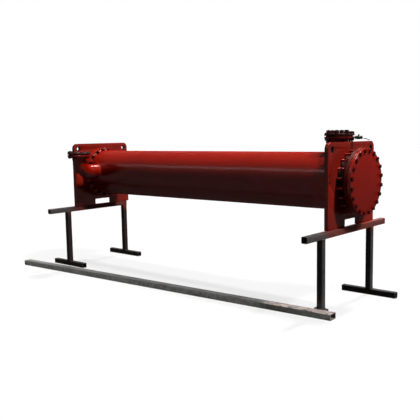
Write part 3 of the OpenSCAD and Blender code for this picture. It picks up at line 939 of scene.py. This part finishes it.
def bent_tube(start, length, slope, bend, radius, bore, rows=24, columns=20):
    """Thin tube in the plane of X and Z: point = path(s) + r * (cos a * across + sin a * normal).

    The slope grows from a little less to a little more than its mean along the tube, out along
    the outside and back along the bore."""
    share = np.linspace(0, 1, rows)
    angle = slope + bend * (share - 0.5)
    step = length / (rows - 1)
    x = start[0] + step * (np.cumsum(np.cos(angle)) - np.cos(angle[0]))
    z = start[2] - step * (np.cumsum(np.sin(angle)) - np.sin(angle[0]))
    order = np.concatenate([np.arange(rows), np.arange(rows)[::-1]])
    size = np.repeat([radius, bore], rows)[:, None]
    turn = round_steps(columns)
    lean = angle[order][:, None]
    return np.stack([x[order][:, None] + size * np.sin(turn) * np.sin(lean),
                     start[1] + size * np.cos(turn) + 0 * lean,
                     z[order][:, None] + size * np.sin(turn) * np.cos(lean)], axis=-1)


tin = finish("dull_tin", dull_tin)
spout_start = (body_end - 0.004, cock_centre[1], cock_centre[2])
spout_length, spout_slope, spout_bend = 0.083, math.radians(16), 0.12
spout_r, spout_bore = 0.0060, 0.0044
spout_grid = bent_tube(spout_start, spout_length, spout_slope, spout_bend, spout_r, spout_bore)
add_piece("vent_spout_tube", spout_grid, True, 40, tin, "dark_steel", "vent_spout")


# Side nozzle
# A level pipe leaves the shell's near side at the left end, turns up through a butt-welded
# long elbow, and ends in a flange that is blanked like the top one.

stub_low, stub_high = span("side_nozzle_stub")
stub_centre = (stub_low + stub_high) / 2
stub_tube = nozzle_pipe(stub_low[1], stub_high[1], stub_centre, "y")
add_piece("side_nozzle_tube", stub_tube, True, 30, red_paint, "red_paint", "side_nozzle_stub")


def elbow(start, bend_r, tail, rows=36):
    """Quarter bend in the plane of Y and Z, with a straight tail: a circle carried along an arc.

    At share t the arc has turned 90 t degrees: y = -bend * sin, z = bend * (1 - cos). The ring
    lies across it, out along the outside and back along the bore."""
    share = np.append(np.linspace(0, 1, rows - 1), 1.0)
    angle = share * math.pi / 2
    y = start[1] - bend_r * np.sin(angle)
    z = start[2] + bend_r * (1 - np.cos(angle))
    z[-1] += tail
    order = np.concatenate([np.arange(rows), np.arange(rows)[::-1]])
    size = np.repeat([nozzle_r, nozzle_bore], rows)[:, None]
    turn = round_steps(nozzle_columns)
    lean = angle[order][:, None]
    return np.stack([start[0] + size * np.cos(turn) + 0 * lean,
                     y[order][:, None] + size * np.sin(turn) * np.sin(lean),
                     z[order][:, None] + size * np.sin(turn) * np.cos(lean)], axis=-1)


elbow_r, elbow_tail = 0.152, 0.007
elbow_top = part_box("side_nozzle_elbow")[1][2]
elbow_start = (stub_centre[0], stub_low[1], stub_centre[2])
elbow_bend = elbow(elbow_start, elbow_r, elbow_tail)
add_piece("side_nozzle_bend", elbow_bend, True, 30, red_paint, "red_paint", "side_nozzle_elbow")
side_centre = np.array([stub_centre[0], stub_low[1] - elbow_r, stub_centre[2]])
side_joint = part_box("side_nozzle_flange")[1][2]
side_neck = nozzle_flange(side_joint, side_centre)
add_piece("side_nozzle_neck", side_neck, True, 30, red_paint, "red_paint", "side_nozzle_flange")
side_saddle = saddle(stub_centre, "y")
add_piece("side_nozzle_saddle_weld", side_saddle, True, 60, red_paint, "red_paint")
side_welds = np.stack([pipe_seam(stub_centre, "y", stub_low[1], 7),
                       pipe_seam(side_centre, "z", elbow_top, 9)])
add_piece("side_nozzle_pipe_welds", side_welds, True, 60, red_paint, "red_paint")
side_turn = 0.0
side_capped = np.array([True, True, True, True, False, False, True, True])
side_locked = np.zeros(8, bool)
blank_off("side", side_centre, side_joint, side_turn, side_capped, side_locked, over=0.005,
          under=0.022)


# Studio
# A pale floor and an even white surround. A key sun above the right end and one overhead
# light the part, with a weak fill behind. Two panels and two suns show only as reflections.

def seen_directly(start):
    """One for rays from the camera, a mirror or glass, and nought for scattered light."""
    camera_ray, glossy_ray, glass_ray = (
        start.node("ShaderNodeLightPath", {}, {}, f"Is {kind} Ray")
        for kind in ("Camera", "Glossy", "Transmission"))
    return start.math("MAXIMUM", start.math("MAXIMUM", camera_ray, glossy_ray), glass_ray)


floor_mesh = bpy.data.meshes.new("floor")
reach = 60.0
floor_corners = [(-reach, -reach, 0), (reach, -reach, 0), (reach, reach, 0), (-reach, reach, 0)]
floor_mesh.from_pydata(floor_corners, [], [(0, 1, 2, 3)])
floor = stand("floor", floor_mesh)
floor_finish = bpy.data.materials.new("pale_floor")
floor_finish.use_nodes = True
floor_tree = floor_finish.node_tree
floor_start = Shade(floor_tree)
floor_seen = seen_directly(floor_start)
floor_colour = floor_seen.blend((0.012, 0.012, 0.012, 1), (0.96, 0.96, 0.96, 1))
matt = floor_start.node("ShaderNodeBsdfDiffuse", {}, {"Color": floor_colour})
glow = floor_start.node("ShaderNodeEmission", {}, {"Color": (1, 1, 1, 1), "Strength": 1.0})
pale = floor_start.node("ShaderNodeMixShader", {}, {0: floor_seen * 0.78, 1: matt, 2: glow})
floor_tree.links.new(pale.socket, floor_tree.nodes["Material Output"].inputs["Surface"])
floor_mesh.materials.append(floor_finish)

world = bpy.data.worlds.new("surround")
bpy.context.scene.world = world
world.use_nodes = True
surround = seen_directly(Shade(world.node_tree)).blend((0.012, 0.012, 0.013, 1), (1, 1, 1, 1))
world.node_tree.links.new(surround.socket, world.node_tree.nodes["Background"].inputs["Color"])


def soft_sun(name, toward, power, spread):
    """Distant lamp that shines from the given direction with a soft edge."""
    lamp = bpy.data.lights.new(name, "SUN")
    lamp.energy = power
    lamp.angle = math.radians(spread)
    holder = stand(name, lamp)
    direction = np.array(toward, float) / np.linalg.norm(toward)
    tilt = math.acos(direction[2])
    holder.rotation_euler = (0, tilt, math.atan2(direction[1], direction[0]))
    return holder


soft_sun("key", (1.0, 0.15, 1.4), 1.9, 8)
soft_sun("overhead", (0.0, 0.41, 0.91), 2.2, 5)
soft_sun("back_fill", (-0.85, 0.55, 0.35), 0.65, 40)


def gloss_panel(name, location, rotation, length, width, power):
    """Lit panel that shows only as a reflection in glossy paint."""
    lamp = bpy.data.lights.new(name, "AREA")
    lamp.shape, lamp.size, lamp.size_y, lamp.energy = "RECTANGLE", length, width, power
    holder = stand(name, lamp)
    holder.location = location
    holder.rotation_euler = rotation
    holder.visible_camera = holder.visible_diffuse = False


strip_place = (-2.45, axis_centre[1] - 4.717, axis_centre[2] + 4.129)
gloss_panel("strip", strip_place, (math.radians(48), 0, 0), 12.9, 0.45, 180)
rim_turn = (math.radians(-14), math.radians(-24), 0)
gloss_panel("rim_panel", (0.92, 0.59, 4.0), rim_turn, 0.35, 0.9, 34)
for name, toward, power, spread in (("glint", (-0.13, 0.62, 0.77), 8.0, 12),
                                    ("zenith", (0.10, 0.0, 1.0), 10.5, 9)):
    soft_sun(name, toward, power, spread).visible_diffuse = False

yaw, pitch, roll = (math.radians(degrees) for degrees in (40.88, 6.86, -1.00))
forward = np.array([-math.sin(yaw) * math.cos(pitch), math.cos(yaw) * math.cos(pitch),
                    -math.sin(pitch)])
right = np.cross(forward, (0, 0, 1))
right /= np.linalg.norm(right)
upward = np.cross(right, forward)
rolled_right = math.cos(roll) * right + math.sin(roll) * upward
rolled_up = math.cos(roll) * upward - math.sin(roll) * right
eye = (4.827477, -5.262192, 1.638470)
focal_pixels, picture_pixels, sensor_width = 627.98, 420, 36.0
camera_data = bpy.data.cameras.new("camera")
camera_data.sensor_width = sensor_width
camera_data.lens = focal_pixels / picture_pixels * sensor_width
camera = stand("camera", camera_data)
pose = np.eye(4)
pose[:3, 0], pose[:3, 1], pose[:3, 2], pose[:3, 3] = rolled_right, rolled_up, -forward, eye
camera.matrix_world = Matrix(pose.tolist())
bpy.context.scene.camera = camera
bpy.context.scene.view_settings.view_transform = "Standard"
